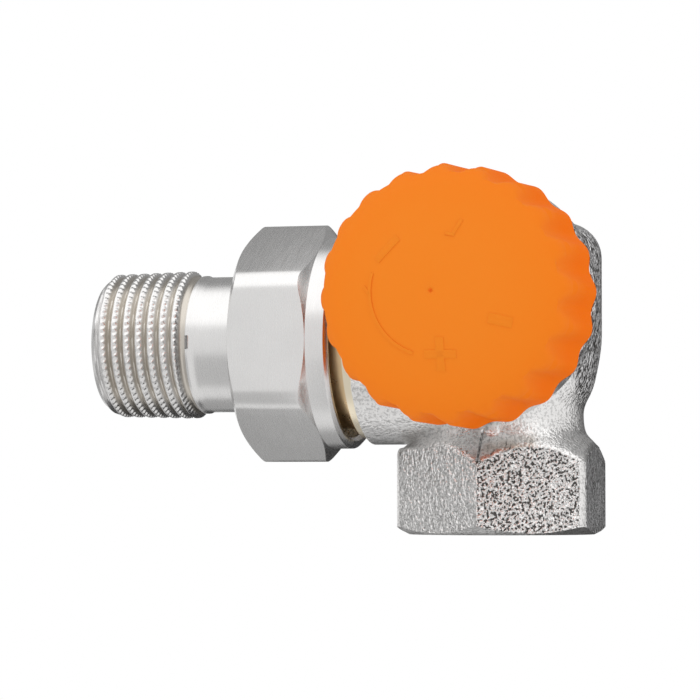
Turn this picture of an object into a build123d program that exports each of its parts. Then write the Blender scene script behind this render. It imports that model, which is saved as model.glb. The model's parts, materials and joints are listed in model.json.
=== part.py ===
from build123d import *
import os
from math import cos, hypot, pi, radians, tan

os.makedirs("parts", exist_ok=True)

# Main layout. The origin is the centre of the inlet mouth, +Z runs up the inlet,
# -X points to the radiator and -Y to the cap.
outlet_reach = 57.0
outlet_height = 27.0
outlet_forward = 3.0
insert_rise = 5.2

# Fits and gaps
running_gap = 0.05
turning_gap = 0.15
seal_gap = 0.02
seat_gap = 0.05
loose_gap = 0.3

# Standard threads, drawn plain at these diameters
socket_minor = 18.63
radiator_major = 20.955
union_major = 26.44
union_pitch = 1.814
head_major = 30.0
head_pitch = 1.5

# Inlet hexagon and neck
hex_flats = 27.0
hex_twist = 3.0
hex_corner = 2.3
hex_parting = 0.4
hex_rim = 12.4
hex_slope = 49.0
hex_foot_bevel = 1.3
socket_depth = 13.5
socket_drill = 2.0
mouth_bevel = 0.5
neck_radius = 11.9
neck_drop = 10.3
flare_start = 0.6

# Riser, the upright chamber above the neck
riser_radius = 14.1
riser_swell = 1.5
riser_crown = 11.5
riser_round = 5.0
bulge_radius = 12.85
bulge_drop = 7.4
way_radius = 5.5
way_sink = 1.5
way_foot_back = 2.5
way_top_back = 6.0
way_crown = 0.8

# Barrel in front of the riser. Places on the insert axis count forward from the inlet axis.
barrel_root = 11.0
barrel_mouth = 14.6
barrel_reach = 18.5
collar_radius = 16.75
collar_back = 11.4
collar_front = 15.8
collar_round = 1.2
collar_foot = 8.5
head_thread_end = 25.0
head_relief = 1.2
seat_radius = 5.0
seat_lip = 1.2
seat_plane = 4.0
chamber_floor = 3.0
chamber_radius = 9.8
chamber_end = 14.0
insert_thread = 10.6
insert_shelf = 19.0
well_radius = 12.6

# Outlet spigot. Places on the outlet axis count outwards from the inlet axis.
spigot_radius = 14.4
spigot_root = 4.0
spigot_shoulder = 17.6
land_radius = 13.5
land_width = 1.3
relief_radius = 12.2
relief_width = 3.4
spigot_end = 28.4
union_lead = 1.0
outlet_radius = 6.8
outlet_depth = 8.2
cone_mouth = 9.2
body_blend = 1.5

# Union nut
nut_flats = 30.0
nut_corner = 3.4
nut_mouth = 20.5
nut_hex_end = 23.6
nut_face = 34.87
nut_wall = 3.3
nut_collar = 14.95
nut_slope = 30.0
nut_edge = 0.5

# Tailpiece
thread_length = 14.5
thread_start = 1.9
thread_tip = 9.2
shank_radius = 9.68
tail_collar = 11.95
tail_collar_width = 2.9
key_lug = 1.6
key_lug_width = 3.0
key_lug_length = 9.0
key_lug_inset = 2.0
nose_wall = 0.9

# Hand cap
cap_rim = 18.55
cap_face = 39.28
cap_crest = 17.75
cap_front_crest = 17.3
cap_flute = 0.62
cap_front_flute = 1.9
cap_lobes = 20
cap_shoulder = 30.4
cap_wall_radius = 17.25
cap_round = 6.5
cap_wall = 2.2
cap_thread_run = 11.0
cap_mouth_bevel = 0.6
cap_boss = 3.4
cap_dimple = 1.1
cap_dimple_depth = 0.25

# Insert, counted forward on its axis with the valve open
lift = 1.5 * head_pitch
spindle_radius = 2.0
spindle_tip = 29.85
stud_radius = 1.5
skirt_end = 10.0
skirt_groove = 11.3
skirt_groove_width = 1.6
skirt_groove_radius = 8.35
flange_end = 20.6
wrench_flats = 19.0
housing_end = 24.6
spring_room = 5.2
spring_room_end = 19.2
bush_length = 2.0
bush_lip = 0.8
bush_lip_radius = 3.1
washer_radius = 4.7
washer_thickness = 0.6
ring_radius = 3.2
ring_thickness = 0.6
ring_groove = 1.6
ring_opening = 2.4
spring_radius = 3.75
wire_radius = 0.35
spring_turns = 4
gland_floor = 21.4
gland_radius = 3.6
gland_foot = 23.05
gland_flats = 11.0
gland_top = 27.0
cover_thickness = 0.45
disc_radius = 6.4
disc_thickness = 2.0
carrier_wall = 0.8
carrier_floor = 1.0
carrier_lip = 1.0
disc_nut_flats = 5.5
disc_nut_height = 1.4

insert_height = outlet_height + insert_rise
neck_height = outlet_height - neck_drop
insert_plane = Plane(origin=(0, 0, insert_height), x_dir=(0, -1, 0), z_dir=(1, 0, 0))
insert_axis = Axis((0, 0, insert_height), (0, -1, 0))
outlet_plane = Plane(
    origin=(0, -outlet_forward, outlet_height), x_dir=(-1, 0, 0), z_dir=(0, -1, 0)
)
outlet_axis = Axis((0, -outlet_forward, outlet_height), (-1, 0, 0))


def turn(outline, plane, axis, mode=Mode.ADD):
    # Revolves an outline of (place along the axis, radius) corners.
    with BuildSketch(plane) as profile:
        with BuildLine():
            Polyline(*outline, close=True)
        make_face()
    revolve(profiles=profile.sketch, axis=axis, mode=mode)


def across(plane, distance):
    # A plane square to the axis that the given profile plane turns about.
    return Plane(origin=plane.origin + plane.x_dir * distance, x_dir=plane.y_dir, z_dir=plane.x_dir)


def ring_seal(place, hole, section):
    # A round-section ring on the insert axis, from its inner radius and its section radius.
    with BuildSketch(insert_plane) as profile:
        with Locations((place, hole + section)):
            Circle(section)
    revolve(profiles=profile.sketch, axis=insert_axis)


# Inlet hexagon with a beveled foot, a cone-cut rim and a flare up to the neck
hex_reach = hex_flats / 2 / cos(pi / 6)
hex_fall = tan(radians(hex_slope))
hex_edge = hex_rim - (hex_reach - hex_flats / 2) * hex_fall
flare_foot = hex_rim + flare_start * hex_fall
with BuildPart() as inlet_hexagon:
    with BuildSketch():
        RegularPolygon(hex_flats / 2, 6, major_radius=False, rotation=30 + hex_twist)
        fillet(vertices().sort_by(Axis.Y)[1:-1], hex_corner)
        fillet(vertices().group_by(Axis.Y)[0] + vertices().group_by(Axis.Y)[-1], hex_parting)
    extrude(amount=neck_height)
    with BuildSketch(Plane.XZ):
        with BuildLine():
            Polyline(
                (0, neck_height),
                (0, 0),
                (hex_reach - 2 * hex_foot_bevel, 0),
                (hex_reach, hex_foot_bevel),
                (hex_reach, hex_edge),
                (hex_flats / 2 - flare_start, flare_foot),
            )
            Spline(
                (hex_flats / 2 - flare_start, flare_foot),
                (neck_radius, neck_height),
                tangents=((-1, hex_fall), (0, 1)),
            )
            Line((neck_radius, neck_height), (0, neck_height))
        make_face()
    revolve(axis=Axis.Z, mode=Mode.INTERSECT)

# Valve body: riser, barrel, spigot and hexagon are one casting with blended joints.
riser_top = insert_height + riser_crown
way_top = insert_height + way_crown
way_foot = socket_depth - way_sink
way_rise = Vector(0, way_top_back - way_foot_back, way_top - way_foot)
way_plane = Plane(origin=(0, way_foot_back, way_foot), x_dir=(1, 0, 0), z_dir=way_rise.normalized())

with BuildPart() as valve_body:
    with BuildSketch(Plane.XZ):
        with BuildLine():
            Polyline((0, hex_rim / 2), (neck_radius, hex_rim / 2), (neck_radius, neck_height))
            Spline(
                (neck_radius, neck_height),
                (bulge_radius, outlet_height - bulge_drop),
                (riser_radius, outlet_height + riser_swell),
                tangents=((0, 1), (0, 1)),
            )
            Line((riser_radius, outlet_height + riser_swell), (riser_radius, riser_top - riser_round))
            RadiusArc(
                (riser_radius, riser_top - riser_round),
                (riser_radius - riser_round, riser_top),
                -riser_round,
            )
            Polyline((riser_radius - riser_round, riser_top), (0, riser_top), (0, hex_rim / 2))
        make_face()
    revolve(axis=Axis.Z)
    turn(
        [(0, 0), (0, barrel_root), (barrel_reach, barrel_mouth), (barrel_reach, 0)],
        insert_plane,
        insert_axis,
    )
    turn(
        [
            (spigot_root, 0),
            (spigot_root, spigot_radius),
            (spigot_shoulder, spigot_radius),
            (spigot_shoulder, 0),
        ],
        outlet_plane,
        outlet_axis,
    )
    with Locations((-spigot_root, -outlet_forward, outlet_height)):
        Sphere(spigot_radius)
    fillet(
        valve_body.edges()
        .filter_by(GeomType.CIRCLE, reverse=True)
        .filter_by(GeomType.LINE, reverse=True)
        .filter_by(lambda edge: edge.bounding_box().min.Y > -collar_back),
        body_blend,
    )
    # Everything in front of the collar is turned away before the head thread stands there.
    turn(
        [(collar_front, 0), (collar_front, 2 * collar_radius), (cap_face, 2 * collar_radius), (cap_face, 0)],
        insert_plane,
        insert_axis,
        Mode.SUBTRACT,
    )
    with BuildSketch(insert_plane) as collar_profile:
        with BuildLine():
            Polyline(
                (collar_foot, 0),
                (collar_foot, barrel_root),
                (collar_back, collar_radius),
                (collar_front, collar_radius),
                (collar_front, 0),
                close=True,
            )
        make_face()
        fillet(
            collar_profile.vertices().filter_by(lambda point: abs(point.Y) > barrel_mouth),
            collar_round,
        )
    revolve(axis=insert_axis)
    turn(
        [
            (collar_front, 0),
            (collar_front, head_major / 2 - head_relief),
            (collar_front + head_relief, head_major / 2 - head_relief),
            (collar_front + 2 * head_relief, head_major / 2),
            (head_thread_end - head_relief, head_major / 2),
            (head_thread_end, head_major / 2 - head_relief),
            (head_thread_end, 0),
        ],
        insert_plane,
        insert_axis,
    )
    turn(
        [
            (spigot_shoulder, 0),
            (spigot_shoulder, land_radius),
            (spigot_shoulder + land_width, land_radius),
            (spigot_shoulder + land_width, relief_radius),
            (spigot_shoulder + land_width + relief_width, relief_radius),
            (spigot_shoulder + land_width + relief_width + union_lead, union_major / 2),
            (spigot_end - union_lead, union_major / 2),
            (spigot_end, union_major / 2 - union_lead),
            (spigot_end, 0),
        ],
        outlet_plane,
        outlet_axis,
    )
    add(inlet_hexagon.part)
    # Water way: inlet socket, slanting riser way, seat, insert chamber and outlet
    turn(
        [
            (0, 0),
            (0, socket_minor / 2 + mouth_bevel),
            (mouth_bevel, socket_minor / 2),
            (socket_depth, socket_minor / 2),
            (socket_depth + socket_drill, 0),
        ],
        Plane(origin=(0, 0, 0), x_dir=(0, 0, 1), z_dir=(0, -1, 0)),
        Axis.Z,
        Mode.SUBTRACT,
    )
    with BuildSketch(way_plane):
        Circle(way_radius)
    extrude(amount=way_rise.length, mode=Mode.SUBTRACT)
    with Locations((0, way_top_back, way_top)):
        Sphere(way_radius, mode=Mode.SUBTRACT)
    turn(
        [
            (-way_top_back, 0),
            (-way_top_back, seat_radius),
            (seat_plane, seat_radius),
            (seat_plane, seat_radius + seat_lip),
            (chamber_floor, seat_radius + seat_lip),
            (chamber_floor, chamber_radius),
            (chamber_end, chamber_radius),
            (chamber_end, insert_thread),
            (insert_shelf, insert_thread),
            (insert_shelf, well_radius),
            (head_thread_end, well_radius),
            (head_thread_end, 0),
        ],
        insert_plane,
        insert_axis,
        Mode.SUBTRACT,
    )
    turn(
        [
            (outlet_depth, 0),
            (outlet_depth, outlet_radius),
            (spigot_end - cone_mouth + outlet_radius, outlet_radius),
            (spigot_end, cone_mouth),
            (spigot_end, 0),
        ],
        outlet_plane,
        outlet_axis,
        Mode.SUBTRACT,
    )
valve_body.part.label = "valve_body"
export_step(valve_body.part, "parts/valve_body.step")

# Union nut: a hexagon with cone-cut ends and a turned collar at its open end
nut_reach = nut_flats / 2 / cos(pi / 6)
nut_fall = tan(radians(nut_slope))
nut_bore = union_major / 2 + turning_gap
nut_shelf = nut_face - nut_wall
nut_hole = radiator_major / 2 + loose_gap
with BuildPart() as union_nut:
    with BuildSketch(across(outlet_plane, nut_mouth)):
        RegularPolygon(nut_flats / 2, 6, major_radius=False)
        fillet(vertices(), nut_corner)
    extrude(amount=nut_face - nut_mouth)
    turn(
        [
            (nut_mouth, 0),
            (nut_mouth, nut_collar - nut_edge),
            (nut_mouth + nut_edge, nut_collar),
            (nut_hex_end, nut_collar),
            (nut_hex_end + (nut_reach - nut_collar) * nut_fall, nut_reach),
            (nut_face - (nut_reach - nut_flats / 2) * nut_fall, nut_reach),
            (nut_face, nut_flats / 2),
            (nut_face, 0),
        ],
        outlet_plane,
        outlet_axis,
        Mode.INTERSECT,
    )
    turn(
        [
            (nut_mouth, 0),
            (nut_mouth, nut_bore + nut_edge),
            (nut_mouth + nut_edge, nut_bore),
            (nut_shelf, nut_bore),
            (nut_shelf, nut_hole),
            (nut_face - nut_edge, nut_hole),
            (nut_face, nut_hole + nut_edge),
            (nut_face, 0),
        ],
        outlet_plane,
        outlet_axis,
        Mode.SUBTRACT,
    )
union_nut.part.label = "union_nut"
export_step(union_nut.part, "parts/union_nut.step")

# Tailpiece: threaded nipple, shank, collar held by the nut, and a cone nose in the spigot
tail_back = nut_shelf - seat_gap
tail_front = tail_back - tail_collar_width
nose_start = cone_mouth - loose_gap
nose_length = nose_start - outlet_radius - nose_wall
thread_end = outlet_reach - thread_length
with BuildPart() as tailpiece:
    turn(
        [
            (tail_front - nose_length, outlet_radius),
            (tail_front - nose_length, nose_start - nose_length),
            (tail_front, nose_start),
            (tail_front, tail_collar),
            (tail_back, tail_collar),
            (tail_back, shank_radius),
            (thread_end, shank_radius),
            (thread_end + radiator_major / 2 - shank_radius, radiator_major / 2),
            (outlet_reach - thread_start, radiator_major / 2),
            (outlet_reach, thread_tip),
            (outlet_reach, outlet_radius),
        ],
        outlet_plane,
        outlet_axis,
    )
    with BuildSketch(across(outlet_plane, outlet_reach - key_lug_inset - key_lug_length)):
        with PolarLocations(outlet_radius, 2):
            Rectangle(2 * key_lug, key_lug_width)
        Circle(outlet_radius + key_lug / 2, mode=Mode.INTERSECT)
    extrude(amount=key_lug_length)
tailpiece.part.label = "tailpiece"
export_step(tailpiece.part, "parts/tailpiece.step")

# Hand cap: fluted wall, domed front, head thread and a boss that rests on the spindle
cap_bore = head_major / 2 + turning_gap
cap_thread_end = cap_rim + cap_thread_run
cap_depth = cap_face - cap_shoulder
round_radius = cap_wall_radius - cap_round
dome_radius = (round_radius**2 + cap_depth**2 - cap_round**2) / (2 * (cap_depth - cap_round))
dome_centre = cap_face - dome_radius
dome_run = hypot(cap_shoulder - dome_centre, round_radius)
dome_along = (cap_shoulder - dome_centre) / dome_run
dome_out = round_radius / dome_run


def flutes(crest, depth):
    # Points of one fluted outline, crest and trough in turn.
    step = 180 / cap_lobes
    return [
        Vector(crest - depth * (turn_index % 2), 0).rotate(Axis.Z, turn_index * step)
        for turn_index in range(2 * cap_lobes)
    ]


def dome_meeting(inset):
    # Where the rounded edge runs into the dome, for a skin lying the inset deep.
    skin = dome_radius - inset
    return (dome_centre + skin * dome_along, skin * dome_out)


with BuildPart() as hand_cap:
    with BuildSketch(across(insert_plane, cap_rim)):
        with BuildLine():
            Spline(*flutes(cap_crest, cap_flute), periodic=True)
        make_face()
    with BuildSketch(across(insert_plane, cap_face)):
        with BuildLine():
            Spline(*flutes(cap_front_crest, cap_front_flute), periodic=True)
        make_face()
    loft()
    with BuildSketch(insert_plane):
        with BuildLine():
            Polyline(
                (cap_face, 0), (cap_rim, 0), (cap_rim, cap_crest), (cap_shoulder, cap_wall_radius)
            )
            edge = TangentArc((cap_shoulder, cap_wall_radius), dome_meeting(0), tangent=(1, 0))
            TangentArc(edge @ 1, (cap_face, 0), tangent=edge % 1)
        make_face()
    revolve(axis=insert_axis, mode=Mode.INTERSECT)
    with BuildSketch(insert_plane):
        with BuildLine():
            Polyline(
                (cap_face - cap_wall, 0),
                (cap_rim, 0),
                (cap_rim, cap_bore + cap_mouth_bevel),
                (cap_rim + cap_mouth_bevel, cap_bore),
                (cap_thread_end, cap_bore),
                (cap_thread_end, cap_wall_radius - cap_wall),
                (cap_shoulder, cap_wall_radius - cap_wall),
            )
            edge = TangentArc(
                (cap_shoulder, cap_wall_radius - cap_wall), dome_meeting(cap_wall), tangent=(1, 0)
            )
            TangentArc(edge @ 1, (cap_face - cap_wall, 0), tangent=edge % 1)
        make_face()
    revolve(axis=insert_axis, mode=Mode.SUBTRACT)
    with BuildSketch(across(insert_plane, spindle_tip)):
        Circle(cap_boss)
    extrude(amount=cap_face - cap_wall / 2 - spindle_tip)
    with BuildSketch(across(insert_plane, cap_face - cap_dimple_depth)):
        Circle(cap_dimple)
    extrude(amount=cap_wall, mode=Mode.SUBTRACT)
hand_cap.part.label = "hand_cap"
export_step(hand_cap.part, "parts/hand_cap.step")

# Insert housing: skirt with a seal groove, thread, flange, wrench hexagon and its stepped bore
skirt_radius = chamber_radius - loose_gap
flange_radius = well_radius - loose_gap
guide_bore = spindle_radius + running_gap
with BuildPart() as insert_housing:
    turn(
        [
            (skirt_end, 0),
            (skirt_end, skirt_radius),
            (skirt_groove, skirt_radius),
            (skirt_groove, skirt_groove_radius),
            (skirt_groove + skirt_groove_width, skirt_groove_radius),
            (skirt_groove + skirt_groove_width, skirt_radius),
            (chamber_end + loose_gap, skirt_radius),
            (chamber_end + loose_gap, insert_thread - running_gap),
            (insert_shelf, insert_thread - running_gap),
            (insert_shelf, flange_radius),
            (flange_end, flange_radius),
            (flange_end, 0),
        ],
        insert_plane,
        insert_axis,
    )
    with BuildSketch(across(insert_plane, flange_end)):
        RegularPolygon(wrench_flats / 2, 6, major_radius=False)
    extrude(amount=housing_end - flange_end)
    turn(
        [
            (skirt_end, 0),
            (skirt_end, spring_room),
            (spring_room_end, spring_room),
            (spring_room_end, guide_bore),
            (gland_floor, guide_bore),
            (gland_floor, gland_radius),
            (housing_end, gland_radius),
            (housing_end, 0),
        ],
        insert_plane,
        insert_axis,
        Mode.SUBTRACT,
    )
insert_housing.part.label = "insert_housing"
export_step(insert_housing.part, "parts/insert_housing.step")

with BuildPart() as housing_seal:
    ring_seal(
        skirt_groove + skirt_groove_width / 2,
        skirt_groove_radius + seal_gap,
        (chamber_radius - skirt_groove_radius) / 2 - seal_gap,
    )
housing_seal.part.label = "housing_seal"
export_step(housing_seal.part, "parts/housing_seal.step")

# Guide bush in the foot of the housing; the return spring stands on it.
bush_top = skirt_end + bush_length
with BuildPart() as guide_bush:
    turn(
        [
            (skirt_end, guide_bore),
            (skirt_end, spring_room - seal_gap),
            (bush_top, spring_room - seal_gap),
            (bush_top, bush_lip_radius),
            (bush_top + bush_lip, bush_lip_radius),
            (bush_top + bush_lip, guide_bore),
        ],
        insert_plane,
        insert_axis,
    )
guide_bush.part.label = "guide_bush"
export_step(guide_bush.part, "parts/guide_bush.step")

# Spindle with its retaining ring, spring washer and closing disc
ring_front = spring_room_end - seat_gap
ring_back = ring_front - ring_thickness
washer_back = ring_back - washer_thickness
disc_face = seat_plane + lift + seat_gap
disc_back = disc_face + disc_thickness
carrier_back = disc_back + carrier_floor
spindle_foot = disc_face - disc_nut_height
with BuildPart() as spindle:
    turn(
        [
            (spindle_foot, 0),
            (spindle_foot, stud_radius),
            (carrier_back, stud_radius),
            (carrier_back, spindle_radius),
            (ring_back, spindle_radius),
            (ring_back, ring_groove),
            (ring_front, ring_groove),
            (ring_front, spindle_radius),
            (spindle_tip - loose_gap, spindle_radius),
            (spindle_tip, spindle_radius - loose_gap),
            (spindle_tip, 0),
        ],
        insert_plane,
        insert_axis,
    )
spindle.part.label = "spindle"
export_step(spindle.part, "parts/spindle.step")

with BuildPart() as retaining_ring:
    with BuildSketch(across(insert_plane, ring_back)):
        Circle(ring_radius)
        Circle(ring_groove + seal_gap, mode=Mode.SUBTRACT)
        with Locations((ring_radius, 0)):
            Rectangle(2 * ring_radius, ring_opening, mode=Mode.SUBTRACT)
    extrude(amount=ring_thickness)
retaining_ring.part.label = "retaining_ring"
export_step(retaining_ring.part, "parts/retaining_ring.step")

with BuildPart() as spring_washer:
    with BuildSketch(across(insert_plane, washer_back)):
        Circle(washer_radius)
        Circle(spindle_radius + seal_gap, mode=Mode.SUBTRACT)
    extrude(amount=washer_thickness)
spring_washer.part.label = "spring_washer"
export_step(spring_washer.part, "parts/spring_washer.step")

# Return spring between the guide bush and the washer
spring_foot = bush_top + wire_radius + seal_gap
spring_rise = washer_back - wire_radius - seal_gap - spring_foot
with BuildPart() as return_spring:
    with BuildLine():
        coil = Helix(
            spring_rise / spring_turns,
            spring_rise,
            spring_radius,
            center=insert_axis.position + insert_axis.direction * spring_foot,
            direction=insert_axis.direction,
        )
    with BuildSketch(Plane(origin=coil @ 0, z_dir=coil % 0)):
        Circle(wire_radius)
    sweep()
return_spring.part.label = "return_spring"
export_step(return_spring.part, "parts/return_spring.step")

with BuildPart() as disc_carrier:
    turn(
        [
            (carrier_back, stud_radius + seal_gap),
            (carrier_back, disc_radius + carrier_wall),
            (disc_back - carrier_lip, disc_radius + carrier_wall),
            (disc_back - carrier_lip, disc_radius + seal_gap),
            (disc_back, disc_radius + seal_gap),
            (disc_back, stud_radius + seal_gap),
        ],
        insert_plane,
        insert_axis,
    )
disc_carrier.part.label = "disc_carrier"
export_step(disc_carrier.part, "parts/disc_carrier.step")

with BuildPart() as seal_disc:
    with BuildSketch(across(insert_plane, disc_face)):
        Circle(disc_radius)
        Circle(stud_radius + seal_gap, mode=Mode.SUBTRACT)
    extrude(amount=disc_thickness)
seal_disc.part.label = "seal_disc"
export_step(seal_disc.part, "parts/seal_disc.step")

with BuildPart() as disc_nut:
    with BuildSketch(across(insert_plane, spindle_foot)):
        RegularPolygon(disc_nut_flats / 2, 6, major_radius=False)
        Circle(stud_radius + seal_gap, mode=Mode.SUBTRACT)
    extrude(amount=disc_nut_height)
disc_nut.part.label = "disc_nut"
export_step(disc_nut.part, "parts/disc_nut.step")

# Gland: inner ring seal, gland nut with the outer ring seal, and a cover ring
seal_hole = spindle_radius + seal_gap
inner_section = (gland_radius - spindle_radius) / 2 - seal_gap
with BuildPart() as inner_seal:
    ring_seal(gland_floor + inner_section + seal_gap, seal_hole, inner_section)
inner_seal.part.label = "inner_seal"
export_step(inner_seal.part, "parts/inner_seal.step")

cover_foot = gland_top - cover_thickness
outer_place = cover_foot - inner_section - seal_gap
outer_floor = outer_place - inner_section - seal_gap
with BuildPart() as gland_nut:
    with BuildSketch(across(insert_plane, gland_foot)):
        Circle(gland_radius - seal_gap)
    extrude(amount=housing_end - gland_foot)
    with BuildSketch(across(insert_plane, housing_end)):
        RegularPolygon(gland_flats / 2, 6, major_radius=False)
    extrude(amount=gland_top - housing_end)
    turn(
        [
            (gland_foot, 0),
            (gland_foot, guide_bore),
            (outer_floor, guide_bore),
            (outer_floor, gland_radius),
            (gland_top, gland_radius),
            (gland_top, 0),
        ],
        insert_plane,
        insert_axis,
        Mode.SUBTRACT,
    )
gland_nut.part.label = "gland_nut"
export_step(gland_nut.part, "parts/gland_nut.step")

with BuildPart() as outer_seal:
    ring_seal(outer_place, seal_hole, inner_section)
outer_seal.part.label = "outer_seal"
export_step(outer_seal.part, "parts/outer_seal.step")

with BuildPart() as gland_cover:
    with BuildSketch(across(insert_plane, cover_foot)):
        Circle(gland_radius - seal_gap)
        Circle(guide_bore, mode=Mode.SUBTRACT)
    extrude(amount=cover_thickness)
gland_cover.part.label = "gland_cover"
export_step(gland_cover.part, "parts/gland_cover.step")
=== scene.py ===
import bpy
import json
import math
import numpy as np
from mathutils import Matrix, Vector


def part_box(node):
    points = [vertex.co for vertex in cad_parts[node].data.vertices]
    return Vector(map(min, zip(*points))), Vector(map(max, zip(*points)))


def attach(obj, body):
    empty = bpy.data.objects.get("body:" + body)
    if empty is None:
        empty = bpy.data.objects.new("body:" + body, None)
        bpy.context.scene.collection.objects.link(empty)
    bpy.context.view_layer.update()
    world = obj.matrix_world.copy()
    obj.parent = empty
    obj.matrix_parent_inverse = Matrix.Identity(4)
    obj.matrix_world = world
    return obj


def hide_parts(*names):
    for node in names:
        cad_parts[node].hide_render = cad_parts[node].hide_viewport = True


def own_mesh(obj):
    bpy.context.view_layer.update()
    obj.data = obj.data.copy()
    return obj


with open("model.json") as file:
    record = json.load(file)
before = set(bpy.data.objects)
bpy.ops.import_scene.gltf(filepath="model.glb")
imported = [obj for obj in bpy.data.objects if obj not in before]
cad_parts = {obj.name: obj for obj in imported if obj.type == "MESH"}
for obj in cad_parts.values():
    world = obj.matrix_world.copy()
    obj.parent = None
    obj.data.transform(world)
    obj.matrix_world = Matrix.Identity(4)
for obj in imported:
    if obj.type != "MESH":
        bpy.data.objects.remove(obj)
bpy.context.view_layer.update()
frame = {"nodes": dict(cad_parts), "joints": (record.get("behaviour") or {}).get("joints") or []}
nodes = frame["nodes"]
joints = {joint["name"]: joint for joint in frame["joints"]}
mm = 0.001
weld = 0.001 * mm            # points nearer than this are one
flatAngle = math.radians(0.3)    # facets that differ by less are one plane

# the valve's three axes, each a point and a direction
outletAxis = (Vector((0, *joints["nut_turn"]["pos_m"][1:])), Vector((-1, 0, 0)))
insertAxis = (Vector((0, 0, joints["cap_turn"]["pos_m"][2])), Vector((0, -1, 0)))
inletAxis = (Vector((0, 0, 0)), Vector((0, 0, 1)))
print("frame loaded:", len(nodes), "nodes")


# working helpers
def deselectAll():
    if bpy.context.object and bpy.context.object.mode != "OBJECT":
        bpy.ops.object.mode_set(mode="OBJECT")
    bpy.ops.object.select_all(action="DESELECT")


def makeActive(piece):
    deselectAll()
    piece.select_set(True)
    bpy.context.view_layer.objects.active = piece


def readPoints(piece):
    flat = np.empty(len(piece.data.vertices) * 3)
    piece.data.vertices.foreach_get("co", flat)
    return flat.reshape(-1, 3)


def writePoints(piece, points):
    piece.data.vertices.foreach_set("co", points.ravel())
    piece.data.update()


def sideOf(axis):
    # a direction square to the axis, where angle zero lies
    return Vector((0, 0, 1)) if abs(axis[1].z) < 0.5 else Vector((0, -1, 0))


def toTurned(points, axis):
    # (along, radius, angle) of each point about an axis, in mm and radians
    start, along = np.array(axis[0]), np.array(axis[1])
    side = np.array(sideOf(axis))
    away = points - start
    u, v = away @ side, away @ np.cross(along, side)
    return (away @ along) / mm, np.hypot(u, v) / mm, np.arctan2(v, u)


def fromTurned(place, radius, angle, axis):
    start, along = np.array(axis[0]), np.array(axis[1])
    side = np.array(sideOf(axis))
    across = np.cross(along, side)
    out = np.outer(np.cos(angle), side) + np.outer(np.sin(angle), across)
    return start + np.outer(place, along) * mm + out * radius[:, None] * mm


def turnProfile(name, corners, axis, steps):
    # corners are (along, radius) in mm, with an optional count of cuts on the way to the corner
    side = sideOf(axis)
    spots = [axis[0] + axis[1] * corner[0] * mm + side * corner[1] * mm for corner in corners]
    deselectAll()
    bpy.ops.mesh.primitive_plane_add(size=mm, location=spots[0])
    piece = bpy.context.object
    piece.name = name
    piece.data.name = name
    bpy.ops.object.transform_apply(location=True, rotation=True, scale=True)
    bpy.ops.object.mode_set(mode="EDIT")
    bpy.ops.mesh.merge(type="CENTER")
    for index in range(1, len(spots)):
        cuts = corners[index][2] if len(corners[index]) > 2 else 1
        step = (spots[index] - spots[index - 1]) / cuts
        for cut in range(cuts):
            bpy.ops.mesh.extrude_vertices_move(TRANSFORM_OT_translate={"value": step})
    bpy.ops.mesh.select_all(action="SELECT")
    bpy.ops.mesh.spin(steps=steps, angle=2 * math.pi, center=axis[0], axis=axis[1], use_auto_merge=True)
    bpy.ops.mesh.select_all(action="SELECT")
    bpy.ops.mesh.remove_doubles(threshold=weld)
    bpy.ops.mesh.normals_make_consistent(inside=False)
    bpy.ops.object.mode_set(mode="OBJECT")
    return piece


def copyNode(nodeName, name):
    # a merged copy of a CAD node, free to be changed
    deselectAll()
    piece = bpy.data.objects.new(name, nodes[nodeName].data.copy())
    bpy.context.scene.collection.objects.link(piece)
    piece.data.name = name
    makeActive(piece)
    if piece.data.has_custom_normals:
        bpy.ops.mesh.customdata_custom_splitnormals_clear()
    bpy.ops.object.mode_set(mode="EDIT")
    bpy.ops.mesh.select_all(action="SELECT")
    bpy.ops.mesh.remove_doubles(threshold=weld)
    bpy.ops.object.mode_set(mode="OBJECT")
    return piece


def softenEdges(piece, width, angle):
    # flat facets joined, then a small bevel on what is still sharp
    makeActive(piece)
    bpy.ops.object.mode_set(mode="EDIT")
    bpy.ops.mesh.select_all(action="SELECT")
    bpy.ops.mesh.dissolve_limited(angle_limit=flatAngle)
    bpy.ops.object.mode_set(mode="OBJECT")
    bevel = piece.modifiers.new("edges", "BEVEL")
    bevel.width = width * mm
    bevel.segments = 2
    bevel.limit_method = "ANGLE"
    bevel.angle_limit = math.radians(angle)
    bevel.use_clamp_overlap = True
    bpy.ops.object.modifier_apply(modifier=bevel.name)


def smoothByAngle(piece, angle):
    makeActive(piece)
    bpy.ops.object.shade_smooth_by_angle(angle=math.radians(angle))


def finishPiece(piece, body, slot, material, *replaced):
    piece.data.materials.clear()
    piece.data.materials.append(material)
    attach(piece, body)
    if replaced:
        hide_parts(*replaced)
    print("made", piece.name, len(piece.data.polygons), "faces")


# shader helpers
def newMaterial(name):
    material = bpy.data.materials.new(name)
    material.use_nodes = True
    tree = material.node_tree
    return material, tree, tree.nodes["Principled BSDF"]


def addNode(tree, kind, **settings):
    node = tree.nodes.new(kind)
    for key, value in settings.items():
        setattr(node, key, value)
    return node


def objectPlace(tree):
    return addNode(tree, "ShaderNodeTexCoord").outputs["Object"]


def splitAxes(tree, place):
    axes = addNode(tree, "ShaderNodeSeparateXYZ")
    tree.links.new(place, axes.inputs[0])
    return [axes.outputs[side] for side in "XYZ"]


def mathNode(tree, operation, first, second=None, clamp=False):
    node = addNode(tree, "ShaderNodeMath", operation=operation, use_clamp=clamp)
    for socket, value in zip(node.inputs, (first, second)):
        if isinstance(value, (int, float)):
            socket.default_value = value
        elif value is not None:
            tree.links.new(value, socket)
    return node.outputs[0]


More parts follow.
